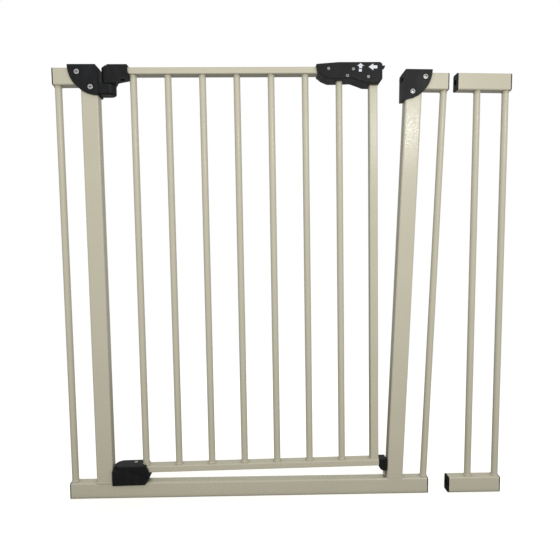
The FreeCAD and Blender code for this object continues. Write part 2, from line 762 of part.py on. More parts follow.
def handle_screw(x, z):
    head = cylinder(2.8, (x, 0.6 - handle_deep, z), 1, "y")
    shank = cylinder(1.5, (x, 1.5 - handle_deep, z), 12 if z < 768 else 4, "y")
    drive = cylinder(1.0, (x, 0.5 - handle_deep, z), 0.7, "y")
    return cut(fuse(head, shank), drive)


node("handle_screws", group(*[handle_screw(x, z) for x, z in screw_places]), left_side)

bolt_half = size("bolt_wide") / 2
bolt_left = button_left - 4
bolt_strip = box((bolt_left, size("tongue_tip")), (-bolt_half, bolt_half), (bolt_low, bolt_high))
doc.recompute()
node(
    "latch_bolt",
    soften(
        bolt_strip, 1.5,
        lambda e: abs(e.BoundBox.XMin - size("tongue_tip").value) < 0.01 and e.Length < 3,
    ),
    left_side,
)
neck = box((button_left + 4, button_right - 4), (-neck_half, neck_half), (bolt_high, handle_top + 0.4))
button_outline = [
    (button_left, handle_top + 0.3), (button_right, handle_top + 0.3),
    (button_right - 1.5, handle_top + 2.6), (button_right - 12, handle_top + 1.6),
    (button_left + 12, handle_top + 1.6), (button_left + 1.5, handle_top + 2.6),
]
button = prism(button_outline, -9, 9, [(2, 0.8), (5, 0.8)])
node("thumb_slider", fuse(neck, button), left_side)


def return_spring():
    """The small compression spring behind the latch bolt."""
    wire, mean = 0.2, 0.85
    length = bolt_left - channel_left - 1
    helix = Part.makeHelix(1.6, length, mean)
    helix.rotate(Vector(), Vector(0, 1, 0), 90)
    start = Vector(channel_left + 0.5, 0, gate_height.value + 1.25)
    helix.translate(start)
    first = helix.Vertexes[0].Point
    if abs(first.x - start.x) > 1:
        first = helix.Vertexes[-1].Point
    ring = Part.Wire(Part.makeCircle(wire, first, Vector(0.29, 0.957, 0)))
    coil = doc.addObject("Part::Feature", "return_coil")
    coil.Shape = Part.Wire(helix).makePipeShell([ring], True, True)
    return coil


node("latch_return_spring", return_spring(), left_side)

# ---- extension panel

extension_inner = size("extension_length") - flange * 2
for name, z in (("bottom", rail_low_z), ("top", stub_mid)):
    node(f"extension_{name}_rail", steel_tube((extension_x + flange, 0, z), extension_inner, "x"))
    node(f"extension_{name}_plug_left", end_plug(extension_x, z, -1))
    node(f"extension_{name}_plug_right", end_plug(extension_end, z, 1))
last_bar_x = extension_end - size("bar_inset")
node("extension_bar_1", round_tube(last_bar_x - size("extension_pitch"), tube_wide, stub_low))
node("extension_bar_2", round_tube(last_bar_x, tube_wide, stub_low))

# ---- check and export

doc.recompute()
for item in doc.Objects:
    if "Invalid" in item.State or "Error" in item.State:
        raise SystemExit(f"{item.Label} failed: {item.State} {item.getStatusString()}")
for label, item in nodes.items():
    shape = item.Shape
    if shape.isNull() or not shape.isValid() or not shape.Solids:
        raise SystemExit(f"{label} has no valid solid")
for label, item in nodes.items():
    item.Shape.exportStep(f"parts/{label}.step")
print(len(nodes), "sub-parts written")
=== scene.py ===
import json
import math

import bmesh
import bpy
import numpy as np
from mathutils import Matrix, Vector


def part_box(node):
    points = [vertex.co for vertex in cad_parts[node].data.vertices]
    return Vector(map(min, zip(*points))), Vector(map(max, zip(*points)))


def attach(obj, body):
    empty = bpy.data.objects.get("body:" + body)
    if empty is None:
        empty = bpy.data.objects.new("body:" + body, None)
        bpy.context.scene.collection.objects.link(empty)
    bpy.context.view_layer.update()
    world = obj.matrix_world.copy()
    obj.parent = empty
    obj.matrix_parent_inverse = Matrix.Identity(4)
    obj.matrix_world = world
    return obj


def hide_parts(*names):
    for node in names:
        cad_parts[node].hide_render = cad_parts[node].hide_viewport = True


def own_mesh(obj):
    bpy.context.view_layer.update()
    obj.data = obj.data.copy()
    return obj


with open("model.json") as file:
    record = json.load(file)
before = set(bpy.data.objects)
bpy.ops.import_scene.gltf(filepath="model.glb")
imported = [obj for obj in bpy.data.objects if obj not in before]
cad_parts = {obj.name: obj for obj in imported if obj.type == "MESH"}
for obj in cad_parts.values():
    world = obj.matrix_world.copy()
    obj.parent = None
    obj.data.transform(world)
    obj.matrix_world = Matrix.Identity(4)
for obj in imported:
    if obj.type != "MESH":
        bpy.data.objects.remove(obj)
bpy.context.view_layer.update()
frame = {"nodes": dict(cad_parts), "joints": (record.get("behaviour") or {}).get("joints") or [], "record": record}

# A pressure-fit safety gate: powder-coated steel tube with black nylon hinges, covers and latch.
# Metres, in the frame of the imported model. +X runs to the latch side, -Y is the front, +Z is up.

millimetre = 0.001
joints = {joint["name"]: joint for joint in frame["joints"]}
bodyOfNode = {node: body for body, nodes in frame["record"]["behaviour"]["bodies"].items() for node in nodes}


# The gate is stored sprung open, so its two sides lean outwards until their joint is at its far limit.
# This is the matrix that takes an upright point of such a side to where it stands at rest.
def leanOf(jointName):
    joint = joints[jointName]
    pivot = Matrix.Translation(Vector(joint["pos_m"]))
    turn = Matrix.Rotation(-math.radians(joint["range_deg"][1]), 4, Vector(joint["axis"]))
    return np.array(pivot @ turn @ pivot.inverted())


hingeSide = leanOf("left_side_flex")
leans = {
    "left_side": hingeSide, "hinge_pins": hingeSide, "door": hingeSide, "latch": hingeSide,
    "right_post": leanOf("right_post_flex"), "right_bar": leanOf("right_bar_flex"),
}


def leaned(points, body):
    matrix = leans.get(body, np.eye(4))
    return points @ matrix[:3, :3].T + matrix[:3, 3]


# The lowest and highest corner of a node as it was drawn, before the lean.
def uprightBox(node):
    mesh = frame["nodes"][node].data
    points = np.empty(len(mesh.vertices) * 3)
    mesh.vertices.foreach_get("co", points)
    matrix = leans.get(bodyOfNode[node], np.eye(4))
    points = (points.reshape(-1, 3) - matrix[:3, 3]) @ matrix[:3, :3]
    return points.min(0), points.max(0)


# Materials

def linear(hexColour):
    channels = [int(hexColour[i:i + 2], 16) / 255 for i in (1, 3, 5)]
    return [c / 12.92 if c <= 0.04045 else ((c + 0.055) / 1.055) ** 2.4 for c in channels] + [1.0]


# Adds one node. Each input is a number, a colour or the socket that feeds it.
def addNode(tree, kind, inputs={}, **settings):
    node = tree.nodes.new("ShaderNode" + kind)
    for name, value in settings.items():
        setattr(node, name, value)
    for name, value in inputs.items():
        if isinstance(value, bpy.types.NodeSocket):
            tree.links.new(value, node.inputs[name])
        else:
            node.inputs[name].default_value = value
    return node


def newMaterial(name):
    material = bpy.data.materials.new(name)
    material.use_nodes = True
    material.node_tree.nodes.clear()
    return material, material.node_tree


def finishMaterial(tree, inputs):
    shader = addNode(tree, "BsdfPrincipled", inputs)
    addNode(tree, "OutputMaterial", {"Surface": shader.outputs["BSDF"]})


# Polyester powder coat, sprayed and baked on steel tube: an even warm grey-cream film, half gloss, with a shallow
# orange peel. Where tubes meet, shade is painted into the colour by an ambient-occlusion mask.
powderCoat = {
    "cream": "#D2CEB9", "creamDeep": "#C9C5B0", "paintedCreviceShade": "#8D8775", "creviceMm": 9,
    "peelMm": 2.6, "peelDepthMm": 0.05, "cloudMm": 90, "roughLow": 0.18, "roughHigh": 0.32,
}


def makePowderCoat():
    p = powderCoat
    material, tree = newMaterial("powderCoatedSteel")
    place = addNode(tree, "TexCoord").outputs["Object"]
    cloud = addNode(tree, "TexNoise", {"Vector": place, "Scale": 1000 / p["cloudMm"], "Detail": 3.0})
    tone = addNode(tree, "Mix", {0: cloud.outputs["Fac"], 6: linear(p["cream"]), 7: linear(p["creamDeep"])},
                   data_type="RGBA")
    # Painted shade: an ambient-occlusion mask mixes a darker colour into the cream in crevices and where tubes meet.
    crevice = addNode(tree, "AmbientOcclusion", {"Distance": p["creviceMm"] * millimetre}, samples=4)
    creviceLitShare = addNode(tree, "MapRange", {"Value": crevice.outputs["AO"], "From Min": 0.25, "From Max": 0.85})
    creviceShadedColour = addNode(tree, "Mix", {0: creviceLitShare.outputs["Result"], 6: linear(p["paintedCreviceShade"]), 7: tone.outputs[2]},
                    data_type="RGBA")
    peel = addNode(tree, "TexNoise", {"Vector": place, "Scale": 1000 / p["peelMm"], "Detail": 2.0})
    gloss = addNode(tree, "MapRange", {"Value": peel.outputs["Fac"], "From Min": 0.3, "From Max": 0.7,
                                       "To Min": p["roughLow"], "To Max": p["roughHigh"]})
    bump = addNode(tree, "Bump", {"Height": peel.outputs["Fac"], "Distance": p["peelDepthMm"] * millimetre,
                                  "Strength": 0.8})
    finishMaterial(tree, {"Base Color": creviceShadedColour.outputs[2], "Roughness": gloss.outputs["Result"],
                          "Normal": bump.outputs["Normal"], "IOR": 1.52})
    return material


# Glass-filled nylon, injection moulded in a spark-eroded tool: near black, with a fine even grain that breaks up
# the gloss, and paler scuffs where hands and door rub. The grain is drawn coarser than it is, so that it shows.
blackNylon = {
    "black": "#191A1C", "scuffed": "#27282A", "grainMm": 0.9, "grainDepthMm": 0.05, "scuffMm": 16,
    "roughLow": 0.4, "roughHigh": 0.56, "specular": 0.35,
}


def makeBlackNylon():
    p = blackNylon
    material, tree = newMaterial("blackNylon")
    place = addNode(tree, "TexCoord").outputs["Object"]
    stretch = addNode(tree, "Mapping", {"Vector": place, "Scale": (1.0, 1.0, 0.28)})
    scuff = addNode(tree, "TexNoise", {"Vector": stretch.outputs["Vector"], "Scale": 1000 / p["scuffMm"],
                                       "Detail": 6.0, "Roughness": 0.7})
    worn = addNode(tree, "MapRange", {"Value": scuff.outputs["Fac"], "From Min": 0.5, "From Max": 0.75})
    colour = addNode(tree, "Mix", {0: worn.outputs["Result"], 6: linear(p["black"]), 7: linear(p["scuffed"])},
                     data_type="RGBA")
    grain = addNode(tree, "TexNoise", {"Vector": place, "Scale": 1000 / p["grainMm"], "Detail": 2.0})
    gloss = addNode(tree, "MapRange", {"Value": scuff.outputs["Fac"], "From Min": 0.3, "From Max": 0.7,
                                       "To Min": p["roughLow"], "To Max": p["roughHigh"]})
    bump = addNode(tree, "Bump", {"Height": grain.outputs["Fac"], "Distance": p["grainDepthMm"] * millimetre,
                                  "Strength": 0.7})
    finishMaterial(tree, {"Base Color": colour.outputs[2], "Roughness": gloss.outputs["Result"],
                          "Normal": bump.outputs["Normal"], "IOR": 1.53, "Specular IOR Level": p["specular"]})
    return material


# Zinc-plated steel, electroplated bright and then passivated: pale grey metal with faint smoky patches. Shade is
# painted into the recesses by an ambient-occlusion mask, which reaches further on the screw heads than on pins and
# springs.
zincPlate = {
    "bright": "#F0F0EE", "smoky": "#D6D6D2", "paintedRecessShade": "#1C1A17", "patchMm": 3.0,
    "roughLow": 0.24, "roughHigh": 0.4, "metallic": 0.6, "recessMm": 0.6, "headRecessMm": 2.4,
}


def makeZincPlate(name, recessMm):
    p = zincPlate
    material, tree = newMaterial(name)
    place = addNode(tree, "TexCoord").outputs["Object"]
    patch = addNode(tree, "TexNoise", {"Vector": place, "Scale": 1000 / p["patchMm"], "Detail": 4.0})
    colour = addNode(tree, "Mix", {0: patch.outputs["Fac"], 6: linear(p["bright"]), 7: linear(p["smoky"])},
                     data_type="RGBA")
    gloss = addNode(tree, "MapRange", {"Value": patch.outputs["Fac"], "From Min": 0.3, "From Max": 0.7,
                                       "To Min": p["roughLow"], "To Max": p["roughHigh"]})
    # Painted shade: an ambient-occlusion mask mixes a near-black colour into recesses and screw drives.
    recess = addNode(tree, "AmbientOcclusion", {"Distance": recessMm * millimetre}, samples=4)
    recessLitShare = addNode(tree, "MapRange", {"Value": recess.outputs["AO"], "From Min": 0.5, "From Max": 0.92})
    recessShadedColour = addNode(tree, "Mix", {0: recessLitShare.outputs["Result"], 6: linear(p["paintedRecessShade"]), 7: colour.outputs[2]},
                    data_type="RGBA")
    finishMaterial(tree, {"Base Color": recessShadedColour.outputs[2], "Roughness": gloss.outputs["Result"],
                          "Metallic": p["metallic"]})
    return material


# Blackened steel, oxidised in a hot bath and oiled: a dark satin metal that shows grey where it slides.
blackOxide = {"dark": "#1A1B1D", "rubbed": "#3B3C3E", "streakMm": 5, "roughness": 0.36, "metallic": 0.85}


def makeBlackOxide():
    p = blackOxide
    material, tree = newMaterial("blackenedSteel")
    place = addNode(tree, "TexCoord").outputs["Object"]
    along = addNode(tree, "Mapping", {"Vector": place, "Scale": (0.15, 1.0, 1.0)})   # slides along X
    streak = addNode(tree, "TexNoise", {"Vector": along.outputs["Vector"], "Scale": 1000 / p["streakMm"],
                                        "Detail": 5.0})
    worn = addNode(tree, "MapRange", {"Value": streak.outputs["Fac"], "From Min": 0.48, "From Max": 0.72})
    colour = addNode(tree, "Mix", {0: worn.outputs["Result"], 6: linear(p["dark"]), 7: linear(p["rubbed"])},
                     data_type="RGBA")
    finishMaterial(tree, {"Base Color": colour.outputs[2], "Roughness": p["roughness"],
                          "Metallic": p["metallic"]})
    return material


# Pad-printed ink on nylon: a thin matt white film, faintly uneven where the pad pressed.
padPrint = {"white": "#EDF0F6", "thin": "#C9CCD3", "unevenMm": 2.5, "roughness": 0.55}


def makePadPrint():
    p = padPrint
    material, tree = newMaterial("padPrintedInk")
    place = addNode(tree, "TexCoord").outputs["Object"]
    uneven = addNode(tree, "TexNoise", {"Vector": place, "Scale": 1000 / p["unevenMm"], "Detail": 3.0})
    worn = addNode(tree, "MapRange", {"Value": uneven.outputs["Fac"], "From Min": 0.5, "From Max": 0.8})
    colour = addNode(tree, "Mix", {0: worn.outputs["Result"], 6: linear(p["white"]), 7: linear(p["thin"])},
                     data_type="RGBA")
    finishMaterial(tree, {"Base Color": colour.outputs[2], "Roughness": p["roughness"]})
    return material


steelCream = makePowderCoat()
nylonBlack = makeBlackNylon()
zincSteel = makeZincPlate("zincPlatedSteel", zincPlate["recessMm"])
zincScrew = makeZincPlate("zincPlatedScrews", zincPlate["headRecessMm"])
oxideSteel = makeBlackOxide()
inkWhite = makePadPrint()
print("materials made")


# Meshes

def addPiece(name, mesh, body, material, replaced=()):
    mesh.materials.clear()
    mesh.materials.append(material)
    piece = bpy.data.objects.new(name, mesh)
    bpy.context.scene.collection.objects.link(piece)
    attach(piece, body)
    if replaced:
        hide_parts(*replaced)
    return piece


# Turns a grid of points, rows by columns, into a closed mesh. Columns always join up, and rows do where ringed.
# Elsewhere the first and the last row are each closed by one face. Faces are turned outwards by the mesh's volume.
def gridFaces(rows, columns, ringed):
    row = np.arange(rows if ringed else rows - 1)[:, None]
    column = np.arange(columns)[None, :]
    a = row * columns + column
    b = row * columns + (column + 1) % columns
    up = ((row + 1) % rows) * columns
    quads = np.stack([a, b, up + (column + 1) % columns, up + column], -1).reshape(-1, 4)
    caps = [] if ringed else [np.arange(columns)[::-1].tolist(),
                              (np.arange(columns) + (rows - 1) * columns).tolist()]
    return quads, caps


def addSurface(name, grids, body, material, replaced=(), ringed=False, sharpAngle=38):
    points, faces, start = [], [], 0
    for grid in grids:
        rows, columns = grid.shape[:2]
        flat = grid.reshape(-1, 3)
        quads, caps = gridFaces(rows, columns, ringed)
        a, b, c, d = (flat[quads[:, i]] for i in range(4))
        volume = np.einsum("ij,ij->", a, np.cross(b, c)) + np.einsum("ij,ij->", a, np.cross(c, d))
        allFaces = quads.tolist() + caps
        if volume < 0:
            allFaces = [face[::-1] for face in allFaces]
        faces += [[i + start for i in face] for face in allFaces]
        points.append(flat)
        start += len(flat)
    mesh = bpy.data.meshes.new(name)
    mesh.from_pydata(leaned(np.concatenate(points), body).tolist(), [], faces)
    mesh.shade_smooth()
    mesh.set_sharp_from_angle(angle=math.radians(sharpAngle))
    return addPiece(name, mesh, body, material, replaced)


def around(count):
    return np.linspace(0, 2 * math.pi, count, endpoint=False)


# Bars. A circle is carried up the bar. Close to each end its radius swells by a quarter ellipse, which is the weld
# under the paint, and the swelling wavers with the angle.
barWelds = {"reachMm": 2.8, "riseMm": 1.15, "waver": 0.2, "columns": 56, "weldRows": 9, "plainRows": 6}


def weldedBar(node, seed):
    p = barWelds
    low, high = uprightBox(node)
    radius = (high[1] - low[1]) / 2
    reach = p["reachMm"] * millimetre
    weld = reach * (1 - np.cos(np.linspace(0, math.pi / 2, p["weldRows"])))
    plain = np.linspace(low[2] + reach, high[2] - reach, p["plainRows"])[1:-1]
    z = np.concatenate([low[2] + weld, plain, high[2] - weld[::-1]])
    distance = np.minimum(z - low[2], high[2] - z)
    swell = p["riseMm"] * millimetre * np.sqrt(np.clip(1 - (distance / reach) ** 2, 0, 1))
    u = around(p["columns"])
    side = np.sign(z - (low[2] + high[2]) / 2)[:, None]
    waver = 1 + p["waver"] * (np.sin(3 * u + seed + side) + 0.6 * np.sin(7 * u - 2 * seed + 2 * side))
    r = radius + swell[:, None] * waver
    x = (low[0] + high[0]) / 2 + r * np.cos(u)
    y = (low[1] + high[1]) / 2 + r * np.sin(u)
    grid = np.stack([x, y, np.broadcast_to(z[:, None], x.shape)], -1)
    name = "welded_" + node
    addSurface(name, [grid], bodyOfNode[node], steelCream, [node])


barNodes = sorted(node for node in bodyOfNode if "_bar_" in node or node.endswith("outer_bar"))
for seed, node in enumerate(barNodes):
    weldedBar(node, seed * 1.7)
print("bars made:", len(barNodes))


# Points spaced evenly along the outline of a rectangle with round corners, with the outward direction at each.
def roundedOutline(halfX, halfY, radius, count):
    turn = np.concatenate([np.linspace(0, math.pi / 2, 9) + i * math.pi / 2 for i in range(4)])
    signX = np.repeat([1, -1, -1, 1], 9)
    signY = np.repeat([1, 1, -1, -1], 9)
    x = signX * (halfX - radius) + radius * np.cos(turn)
    y = signY * (halfY - radius) + radius * np.sin(turn)
    x, y, turn = np.append(x, x[0]), np.append(y, y[0]), np.append(turn, 2 * math.pi)
    length = np.concatenate([[0], np.cumsum(np.hypot(np.diff(x), np.diff(y)))])
    at = np.linspace(0, length[-1], count, endpoint=False)
    facing = np.interp(at, length, turn)
    return np.stack([np.interp(at, length, x), np.interp(at, length, y)], -1), facing


# Weld beads around the square members: a small circle carried round the member's outline, its radius wavering
# like the scales of a bead.
postWelds = {
    "beadMm": 1.25, "leftFootMm": 1.9, "rightFootMm": 1.0, "leftRiseMm": 0.5, "rightRiseMm": 0.2,
    "cornerMm": 3, "scaleMm": 3.1, "waver": 0.14, "columns": 260, "rows": 12,
}


def weldBead(name, node, z, bead, body):
    p = postWelds
    low, high = uprightBox(node)
    outline, facing = roundedOutline((high[0] - low[0]) / 2, (high[1] - low[1]) / 2, p["cornerMm"] * millimetre,
                                     p["columns"])
    middle = (low[:2] + high[:2]) / 2
    length = 2 * (high[0] - low[0] + high[1] - low[1]) / millimetre
    scales = round(length / p["scaleMm"])
    u = around(p["columns"])
    v = around(p["rows"])[:, None]
    radius = bead * millimetre * (1 + p["waver"] * np.abs(np.sin(scales * u / 2)) + 0.08 * np.sin(5 * u + 1))
    out = radius * np.cos(v)
    x = middle[0] + outline[:, 0] + out * np.cos(facing)
    y = middle[1] + outline[:, 1] + out * np.sin(facing)
    height = z + radius * np.sin(v)
    addSurface(name, [np.stack([x, y, height], -1)], body, steelCream, ringed=True)


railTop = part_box("bottom_rail")[1].z
for side in ("left", "right"):
    height = railTop + postWelds[side + "RiseMm"] * millimetre
    weldBead(side + "_post_foot_weld", side + "_post", height, postWelds[side + "FootMm"], "base")
stileLow, stileHigh = uprightBox("door_closing_stile")
weldBead("stile_foot_weld", "door_closing_stile", stileLow[2], postWelds["beadMm"], "door")
print("weld beads made")


# Moulded parts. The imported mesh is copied, its doubled points are merged and its flat faces joined, and then every
# sharp edge is rounded as a mould would leave it.
mouldedEdges = {
    "left_corner_cover_front": 1.3, "left_corner_cover_rear": 1.3,
    "right_corner_cover_front": 1.3, "right_corner_cover_rear": 1.3,
    "top_hinge_seat": 1.0, "top_hinge_arm": 1.0, "bottom_hinge_housing": 0.7, "bottom_hinge_shoe": 0.7,
    "drop_bolt_holder": 0.6, "handle_front_shell": 0.7, "handle_rear_shell": 1.0, "strike_bumper": 0.3,
    "thumb_slider": 0.6,
}
mouldedEdges.update({node: 0.5 for node in sorted(bodyOfNode) if "_plug" in node})
mouldRounding = {"segments": 3, "fromDegrees": 32, "flatDegrees": 0.8, "flatWeight": 100}
mergeDistance = 2e-6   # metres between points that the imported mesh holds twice


def mouldedCopy(node, widthMm):
    work = bmesh.new()
    work.from_mesh(frame["nodes"][node].data)
    bmesh.ops.remove_doubles(work, verts=work.verts, dist=mergeDistance)
    bmesh.ops.dissolve_limit(work, angle_limit=math.radians(mouldRounding["flatDegrees"]), verts=work.verts,
                             edges=work.edges)
    mesh = bpy.data.meshes.new("moulded_" + node)
    work.to_mesh(mesh)
    work.free()
    mesh.shade_smooth()
    piece = addPiece("moulded_" + node, mesh, bodyOfNode[node], nylonBlack, [node])
    rounding = piece.modifiers.new("edgeRounding", "BEVEL")
    rounding.width = widthMm * millimetre
    rounding.segments = mouldRounding["segments"]
    rounding.limit_method = "ANGLE"
    rounding.angle_limit = math.radians(mouldRounding["fromDegrees"])
    flatten = piece.modifiers.new("flatFaces", "WEIGHTED_NORMAL")   # large faces stay flat, the rounding turns
    flatten.mode = "FACE_AREA"
    flatten.weight = mouldRounding["flatWeight"]


for node, widthMm in mouldedEdges.items():
    mouldedCopy(node, widthMm)
print("moulded parts rounded")

# Tube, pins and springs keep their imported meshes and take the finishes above.
for node, piece in frame["nodes"].items():
    name = piece.data.materials[0].name
    finish = {"powder_coated_steel": steelCream, "zinc_steel": zincSteel}.get(name, nylonBlack)
    piece.material_slots[0].material = oxideSteel if node == "latch_bolt" else finish
print("tube, pins and springs finished")


# Screws. The head is a grid of distance from the centre by angle: a low dome, less the recess for the driver,
# then down the rim and back under. A cross recess is two crossed slots and a socket is a hexagon. The slots' half
# width and reach and the socket's half width are shares of the head's radius.
screwSizes = {
    "domeMm": 0.5, "recessDepthMm": 1.35, "slotHalf": 0.16, "slotReach": 0.62, "socket": 0.56,
    "coverHeadMm": 1.5, "handleHeadMm": 0.9, "columns": 96, "rows": 30,
}


def screwHead(centre, radius, thick, socket, upward=False):
    p = screwSizes
    u = around(p["columns"])
    share = np.concatenate([np.linspace(0.02, 0.9, p["rows"]), [0.95, 0.985, 1.0, 1.0, 0.985, 0.02]])[:, None]
    x, z = share * np.cos(u), share * np.sin(u)
    if socket:
        across = np.maximum(np.abs(x), np.maximum(np.abs(x / 2 + z * 0.866), np.abs(x / 2 - z * 0.866)))
        inside = np.clip((p["socket"] - across) / 0.04, 0, 1)
    else:
        arms = [np.maximum(np.abs(a) / p["slotHalf"], np.abs(b) / p["slotReach"]) for a, b in ((x, z), (z, x))]
        inside = np.clip((1 - np.minimum(*arms)) / 0.25, 0, 1)
    dome = p["domeMm"] * millimetre * (1 - share ** 2)
    depth = thick + dome - p["recessDepthMm"] * millimetre * inside
    depth[-4:] = thick * np.array([0.94, 0.8, 0.1, 0])[:, None]   # the rim, and the closed underside
    if upward:
        return np.stack([centre[0] + radius * x, centre[1] + radius * z, centre[2] + depth], -1)
    return np.stack([centre[0] + radius * x, centre[1] - depth, centre[2] + radius * z], -1)


# The middle of each screw of a node, read from its separate solids, with the front of its head.
def screwsOf(node):
    work = bmesh.new()
    work.from_mesh(frame["nodes"][node].data)
    bmesh.ops.remove_doubles(work, verts=work.verts, dist=mergeDistance)
    matrix = leans.get(bodyOfNode[node], np.eye(4))
    waiting, found = set(work.verts), []
    while waiting:
        island, edge = set(), [waiting.pop()]
        while edge:
            point = edge.pop()
            island.add(point)
            near = {e.other_vert(point) for e in point.link_edges} & waiting
            waiting -= near
            edge += near
        spots = (np.array([v.co for v in island]) - matrix[:3, 3]) @ matrix[:3, :3]
        found.append((spots.min(0), spots.max(0)))
    work.free()
    return sorted(found, key=lambda corners: corners[0].tolist())   # the same order each run


def screwSet(name, node, socket, headMm):
    headThick = headMm * millimetre
    heads = []
    for low, high in screwsOf(node):
        radius = (high[0] - low[0]) / 2
        heads.append(screwHead([(low[0] + high[0]) / 2, low[1] + headThick, (low[2] + high[2]) / 2], radius,
                               headThick, socket))
    addSurface(name, heads, bodyOfNode[node], zincScrew, [node], sharpAngle=50)


screwSet("left_cover_cross_screws", "left_cover_screws", False, screwSizes["coverHeadMm"])
screwSet("right_cover_socket_screws", "right_cover_screws", True, screwSizes["coverHeadMm"])
screwSet("handle_cross_screws", "handle_screws", False, screwSizes["handleHeadMm"])
print("screws made")


# Printed marks on the front of the handle: an upward arrow over a square dot, and an arrow to the left. Each is an
# outline drawn twice, just inside the shell's face and at the face of the ink. Places run from the shell's upper
# left corner, as right, down, length and width.
handleMarks = {
    "inkMm": 0.12, "upArrow": (78.8, 6.8, 8.6, 12.2), "leftArrow": (100.8, 9.0, 15.7, 11.8),
    "dot": (78.4, 14.9, 5.2, 4.2), "shaftShare": 0.44, "headShare": 0.55,
}


def arrowOutline(length, width):
    shaft = handleMarks["shaftShare"] * width / 2
    neck = length / 2 - length * handleMarks["headShare"]
    return np.array([
        (length / 2, 0), (neck, width / 2), (neck, shaft), (-length / 2, shaft),
        (-length / 2, -shaft), (neck, -shaft), (neck, -width / 2),
    ])


def boxOutline(length, width):
    return np.array([(length, width), (-length, width), (-length, -width), (length, -width)]) / 2


def printedMark(name, outline, place, turnDegrees):
    low, high = uprightBox("handle_front_shell")
    right, down, length, width = place
    turn = math.radians(turnDegrees)
    along, across = outline(length, width).T
    x = low[0] + (right + along * math.cos(turn) - across * math.sin(turn)) * millimetre
    z = high[2] + (-down + along * math.sin(turn) + across * math.cos(turn)) * millimetre
    y = low[1] + np.array([[0.02], [-handleMarks["inkMm"]]]) * millimetre
    grid = np.stack(np.broadcast_arrays(x, y, z), -1)
    addSurface(name, [grid], "door", inkWhite, sharpAngle=20)


printedMark("up_arrow_print", arrowOutline, handleMarks["upArrow"], 90)
printedMark("left_arrow_print", arrowOutline, handleMarks["leftArrow"], 180)
printedMark("dot_print", boxOutline, handleMarks["dot"], 0)
print("handle marks printed")


# Ribs in the dish of the thumb button. Each is an ellipse carried along the button, and it shrinks by a sixth power
# of the distance towards its two ends.
thumbRibs = {"count": 7, "pitchMm": 2.0, "riseMm": 0.55, "halfWidthMm": 0.62, "halfLengthMm": 6.5, "sunkMm": 1.15}


def ribbedGrip():
    p = thumbRibs
    low, high = uprightBox("thumb_slider")
    middle = (low[0] + high[0]) / 2
    seat = high[2] - p["sunkMm"] * millimetre
    half = p["count"] * p["pitchMm"] / 2
    grids = []
    u = around(28)
    for i in range(p["count"]):
        along = np.linspace(-1, 1, 15)[:, None]
        fade = np.sqrt(np.clip(1 - along ** 6, 0.0004, 1))
        x = middle + ((i + 0.5) * p["pitchMm"] - half + p["halfWidthMm"] * fade * np.cos(u)) * millimetre
        z = seat + p["riseMm"] * fade * np.sin(u) * millimetre
        y = np.broadcast_to(along * p["halfLengthMm"] * millimetre, x.shape)
        grids.append(np.stack([x, y, z], -1))
    addSurface("thumb_button_ribs", grids, "latch", nylonBlack)


ribbedGrip()
print("thumb ribs made")


# Latch return spring. A small circle is carried along a helix: its place runs on evenly while it turns about the
# spring's middle line.
returnSpring = {"wireMm": 0.2, "pitchMm": 1.6, "stepsPerTurn": 22, "wireSteps": 8}


def coiledSpring():
    p = returnSpring
    low, high = uprightBox("latch_return_spring")
    wire = p["wireMm"] * millimetre
    length = high[0] - low[0] - 2 * wire
    turns = length / (p["pitchMm"] * millimetre)
    share = np.linspace(0, 1, round(turns * p["stepsPerTurn"]))[:, None]
    t = share * turns * 2 * math.pi
    v = around(p["wireSteps"])
    radius = (high[1] - low[1]) / 2 - wire + wire * np.cos(v)
    x = low[0] + wire + length * share + wire * np.sin(v)
    y = (low[1] + high[1]) / 2 + radius * np.cos(t)
    z = (low[2] + high[2]) / 2 + radius * np.sin(t)
    grid = np.stack([x, y, z], -1)
    spring = addSurface("coiled_return_spring", [grid], "latch", zincSteel, ["latch_return_spring"], sharpAngle=60)
    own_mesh(spring)


coiledSpring()
print("return spring coiled")


# Small fixings on the bottom hinge shoe: a pan head screw in its top, and two moulded eyelets on its front, near the
# right edge. The screw's place runs from the hinge pin, as right and back. An eyelet's runs from the shoe's upper
# right corner, as left and down.
shoeDetails = {
    "screw": (22.0, 5.0), "screwRadiusMm": 3.0, "screwThickMm": 0.9, "eyelets": ((6.0, 9.0), (5.0, 16.5)),
    "eyeletMm": 1.7, "ringMm": 0.55,
}


def ringMoulding(centre):
    u, v = around(36), around(10)[:, None]
    r = (shoeDetails["eyeletMm"] + shoeDetails["ringMm"] * np.cos(v)) * millimetre
    depth = shoeDetails["ringMm"] * np.sin(v) * millimetre
    places = np.broadcast_arrays(centre[0] + r * np.cos(u), centre[1] - depth, centre[2] + r * np.sin(u))
    return np.stack(places, -1)


shoeLow, shoeHigh = uprightBox("bottom_hinge_shoe")
pinMiddle = sum(uprightBox("bottom_hinge_pin")) / 2
right, back = (value * millimetre for value in shoeDetails["screw"])
shoeScrew = screwHead([pinMiddle[0] + right, pinMiddle[1] + back, shoeHigh[2] - 0.2 * millimetre],
                      shoeDetails["screwRadiusMm"] * millimetre, shoeDetails["screwThickMm"] * millimetre,
                      False, upward=True)
addSurface("shoe_cross_screw", [shoeScrew], "door", zincSteel, sharpAngle=50)
eyelets = [ringMoulding([shoeHigh[0] - left * millimetre, shoeLow[1] + 0.1 * millimetre,
                         shoeHigh[2] - down * millimetre]) for left, down in shoeDetails["eyelets"]]
addSurface("shoe_eyelets", eyelets, "door", nylonBlack, ringed=True)
print("shoe details made")


